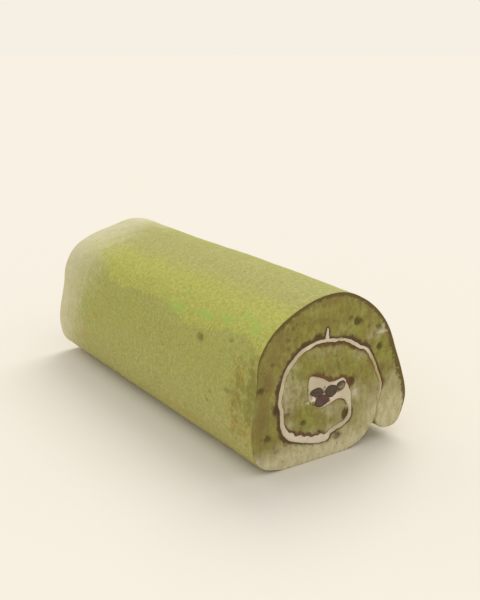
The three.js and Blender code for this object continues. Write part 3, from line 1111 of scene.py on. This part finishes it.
def shapeSponge(mesh):
    points = readVectors(mesh, "co")
    normals = readVectors(mesh, "normal")
    creamGap = readMask(mesh, "creamGap")
    edgeGap = readMask(mesh, "edgeGap")
    x, y, z = points.T
    masks = {name: np.zeros(len(points)) for name in (*sponge["farMarks"], "pale")}
    inward = np.zeros(len(points))
    nearCut = y < nearEnd + cutSlack
    farCut = y > farEnd - cutSlack
    for atCut, way in ((nearCut, 1), (farCut, -1)):
        depth, marks = cutMarks(x[atCut], z[atCut], creamGap[atCut], edgeGap[atCut], way > 0)
        inward[atCut] = depth * way
        for name, values in marks.items():
            masks[name][atCut] = values
    turned = np.degrees(np.arctan2(z - roll["heart"][1], x - roll["heart"][0])) % 360
    outside = (edgeGap < skinRelief["depth"]) & ~nearCut & ~farCut
    shell = points[outside]
    lift, pitDepth = outsideLift(shell, turned[outside], allPits())
    points[outside] = shell + normals[outside] * lift[:, None]
    # painted shade in the pits, by their depth
    shade = np.minimum(pitDepth * skinRelief["pitShade"], skinRelief["pitShadeMost"])
    masks["hollow"][outside] = shade
    masks.update(dustMasks(y, turned))
    masks["skinGap"] = np.minimum(creamGap, edgeGap)
    points[:, 1] += inward
    for name, values in masks.items():
        setMask(mesh, name, values)
    dropMask(mesh, "creamGap", "edgeGap")
    points = wavered(points, np.clip(edgeGap / roll["waverDepth"], roll["edgeWaver"], 1))
    points[:, 2] = np.maximum(points[:, 2], 0)
    writePoints(mesh, settled(points))


makeSponge()
print("sponge made")


cream = {
    "rows": 10,
    "steps": 4,
    "dome": 0.25,  # how far it bulges at the cuts, and how far in from its edge it is full
    "domeReach": 1.0,
    "sunk": 0.1,  # how far behind the cut its edge lies
    "uneven": {3.0: 0.22, 1.1: 0.1},  # size and height of its lumps
    "softness": {"covered": 0.3, "crumbed": 0.3, "beanShadeAndSmudge": 0.4, "dull": 0.5, "tan": 0.5},
    # where crumb hides it at the cut, and painted shade beside and between the beans with a brown
    # smudge on the pocket's left wall: as the sponge's marks
    "covered": [(26.5, 13, 4, 8.5, 1.0), (27.4, 21.5, 1.6, 2, 0.45)],
    "crumbed": [
        (-12.4, 27.0, 2.6, 1.8, 0.8), (3.6, 11.8, 2.2, 0.7, 0.7), (3.0, 54.6, 3.0, 0.9, 0.45),
    ],
    # the first is a brown smudge on the pocket's left wall, the rest painted shade beside and
    # between the beans
    "beanShadeAndSmudge": [
        (-13.4, 31.6, 2.4, 3.0, 0.5), (-4.2, 31.0, 0.7, 1.6, 0.6), (7.8, 34.0, 1.4, 1.8, 0.7),
        (-9.6, 30.3, 1.5, 0.8, 0.9), (-5.4, 31.4, 1.2, 1.5, 0.7), (-5.2, 33.6, 1.0, 1.4, 0.5),
        (-2.7, 27.2, 0.9, 1.4, 0.7), (-0.6, 28.8, 1.6, 0.8, 0.45), (2.0, 32.2, 0.9, 1.6, 0.9),
        (2.6, 30.2, 1.6, 0.9, 0.6),
    ],
    "dull": [
        (3, 53, 12, 4.5, 0.4), (-8, 36.6, 8, 4, 0.7), (6.5, 29, 4, 6, 0.4), (-29, 30, 3, 14, 0.6),
        (4, 13, 7, 3, 0.8), (-21, 49, 6, 6, 0.8), (-26.5, 43, 3.5, 5, 0.9), (8, 18, 3.5, 5, 0.8),
    ],
    "tan": [(23.5, 40, 4.5, 8, 0.85), (26.5, 32, 3.5, 10, 0.9)],
}


def makeCreamFilling():
    outer, inner = creamSides()
    columns, rows = len(outer) - 1, cream["rows"]
    bm = bmesh.new()
    cutGrid(bm, columns, rows, lambda c, r: inner[c] + (outer[c] - inner[c]) * (r / rows))
    edgeGap = bm.verts.layers.float.new("edgeGap")
    toEdge = distanceTo([*outer, *inner])
    for vert in bm.verts:
        vert[edgeGap] = toEdge(vert.co.x, vert.co.z)
    runThrough(bm, rollLength)
    bmesh.ops.subdivide_edges(bm, edges=longEdges(bm), cuts=cream["steps"] - 1)
    mesh = toMesh(bm, "creamSpiral")
    points = readVectors(mesh, "co")
    fromEdge = slope(readMask(mesh, "edgeGap"), 0, cream["domeReach"])
    x, y, z = points.T
    for atCut, way, seed in ((y < nearEnd + cutSlack, -1, 2.0), (y > farEnd - cutSlack, 1, 9.0)):
        flat = points[atCut] * np.array((1, 0, 1))
        bulge = cream["dome"] * np.sqrt(fromEdge[atCut]) - cream["sunk"]
        for size, height in cream["uneven"].items():
            bulge += height * noiseAt(flat, size, seed)
        points[atCut, 1] += way * bulge
    for kind, soft in cream["softness"].items():
        setMask(mesh, kind, ovalMask(x, z, cream[kind], soft))
    dropMask(mesh, "edgeGap")
    writePoints(mesh, settled(wavered(points)))
    return addPiece(mesh, "cream", [creamMaterial], "cream_filling")


makeCreamFilling()
print("cream made")


beans = {
    "sides": 36,
    "proud": 0.14,  # how far their edges stand out of the cuts
    "waver": 1.7,  # times the section's own
    # rings inwards on both cuts, a rounded rim of skin and then the paste: width, depth, paste
    "rings": [(0.3, 0.2, 0.0), (0.35, 0.06, 0.3), (0.5, -0.05, 1.0), (0.6, 0.05, 1.0)],
    "lumps": 0.15,
    "lumpSize": 1.6,
    # paste that shows pale on the fourth bean, with a dark eye in it: as the sponge's marks
    "pale": [(4.1, 32.4, 1.95, 1.155, 0.95)],
    "paleSoftness": 0.25,
    "eye": [(3.3, 33.1, 1.1, 0.6, 0.95)],
    "eyeSoftness": 0.3,
    "places": [
        {"x": -9.6, "z": 32.1, "across": 3.9, "up": 2.1, "tilt": -8, "plum": 0.15},
        {"x": -6.6, "z": 27.7, "across": 4.1, "up": 2.9, "tilt": 4, "plum": 1.0},
        {"x": -1.4, "z": 31.3, "across": 3.5, "up": 2.9, "tilt": -16, "plum": 0.05},
        {"x": 3.9, "z": 32.6, "across": 2.6, "up": 2.1, "tilt": 10, "plum": 0.0},
    ],
}


def beanCaps(bm):
    # the round faces in the middle of both cuts
    return [f for f in bm.faces if len(f.verts) > 4]


def makeBean(number, bean):
    bm = bmesh.new()
    paste = bm.verts.layers.float.new("paste")
    bmesh.ops.create_circle(bm, cap_ends=True, segments=beans["sides"], radius=1)
    turn = Matrix.Rotation(math.radians(90), 4, "X")
    size = Matrix.Diagonal((bean["across"], 1, bean["up"], 1))
    tilt = Matrix.Rotation(-math.radians(bean["tilt"]), 4, "Y")
    move = Matrix.Translation((bean["x"], nearEnd - beans["proud"], bean["z"]))
    bmesh.ops.transform(bm, matrix=move @ tilt @ size @ turn, verts=bm.verts[:])
    runThrough(bm, rollLength + 2 * beans["proud"])
    bm.normal_update()
    for width, depth, soft in beans["rings"]:
        bmesh.ops.inset_individual(bm, faces=beanCaps(bm), thickness=width, depth=depth)
        for vert in {v for f in beanCaps(bm) for v in f.verts}:
            vert[paste] = soft
    for vert in bmesh.ops.poke(bm, faces=beanCaps(bm))["verts"]:
        vert[paste] = 1.0
    mesh = toMesh(bm, f"redBean{number}")
    points = readVectors(mesh, "co")
    flat = points * np.array((1, 0, 1))
    points[:, 1] += beans["lumps"] * noiseAt(flat, beans["lumpSize"], number * 3.0)
    setMask(mesh, "plum", np.full(len(points), bean["plum"]))
    x, _, z = points.T
    shows = ovalMask(x, z, beans["pale"], beans["paleSoftness"])
    shows -= ovalMask(x, z, beans["eye"], beans["eyeSoftness"])
    setMask(mesh, "pale", np.clip(shows, 0, 1))
    writePoints(mesh, settled(wavered(points, beans["waver"])))
    return addPiece(mesh, "red_bean", [beanMaterial], f"red_bean_{number}")


for number, bean in enumerate(beans["places"], 1):
    makeBean(number, bean)
print("beans made")


def makeFloor():
    bm = bmesh.new()
    bmesh.ops.create_circle(bm, cap_ends=True, segments=light["floorSides"],
                            radius=light["floorRadius"])
    mesh = toMesh(bm, "floor")
    material, _, shader = newMaterial("paleFloor", roughness=0.95, gloss=0.0)
    shader.inputs["Base Color"].default_value = (*light["floor"], 1)
    mesh.materials.append(material)
    floor = bpy.data.objects.new("floor", mesh)
    bpy.context.scene.collection.objects.link(floor)


def makeSky():
    world = bpy.data.worlds.new("studio")
    bpy.context.scene.world = world
    world.use_nodes = True
    t = Tree(world.node_tree)
    sky = world.node_tree.nodes["Background"]
    sky.inputs["Color"].default_value = (*light["skyColour"], 1)
    sky.inputs["Strength"].default_value = light["sky"]
    backdrop = t.add("ShaderNodeBackground", {"Color": (*light["backdrop"], 1), "Strength": 1.0})
    seen = t.add("ShaderNodeLightPath").outputs["Is Camera Ray"]
    both = t.add("ShaderNodeMixShader", {0: seen, 1: sky.outputs[0], 2: backdrop.outputs[0]})
    t.feed(world.node_tree.nodes["World Output"].inputs[0], both.outputs[0])


def makeSun():
    sun = bpy.data.lights.new("keyLight", "SUN")
    sun.energy = light["sun"]
    sun.color = light["sunColour"]
    sun.angle = math.radians(light["sunSoftness"])
    lamp = bpy.data.objects.new("keyLight", sun)
    lamp.rotation_euler = Vector(light["sunFrom"]).to_track_quat("Z", "Y").to_euler()
    bpy.context.scene.collection.objects.link(lamp)


def makeCamera():
    lens = bpy.data.cameras.new("camera")
    lens.lens = camera["lens"]
    lens.sensor_width = camera["sensor"]
    lens.clip_start, lens.clip_end = camera["reach"]
    eye = bpy.data.objects.new("camera", lens)
    eye.location = camera["place"]
    eye.rotation_euler = Vector(camera["looks"]).to_track_quat("-Z", "Y").to_euler()
    bpy.context.scene.collection.objects.link(eye)
    bpy.context.scene.camera = eye


makeFloor()
makeSky()
makeSun()
makeCamera()
bpy.context.scene.view_settings.view_transform = "Standard"
print("stage made")
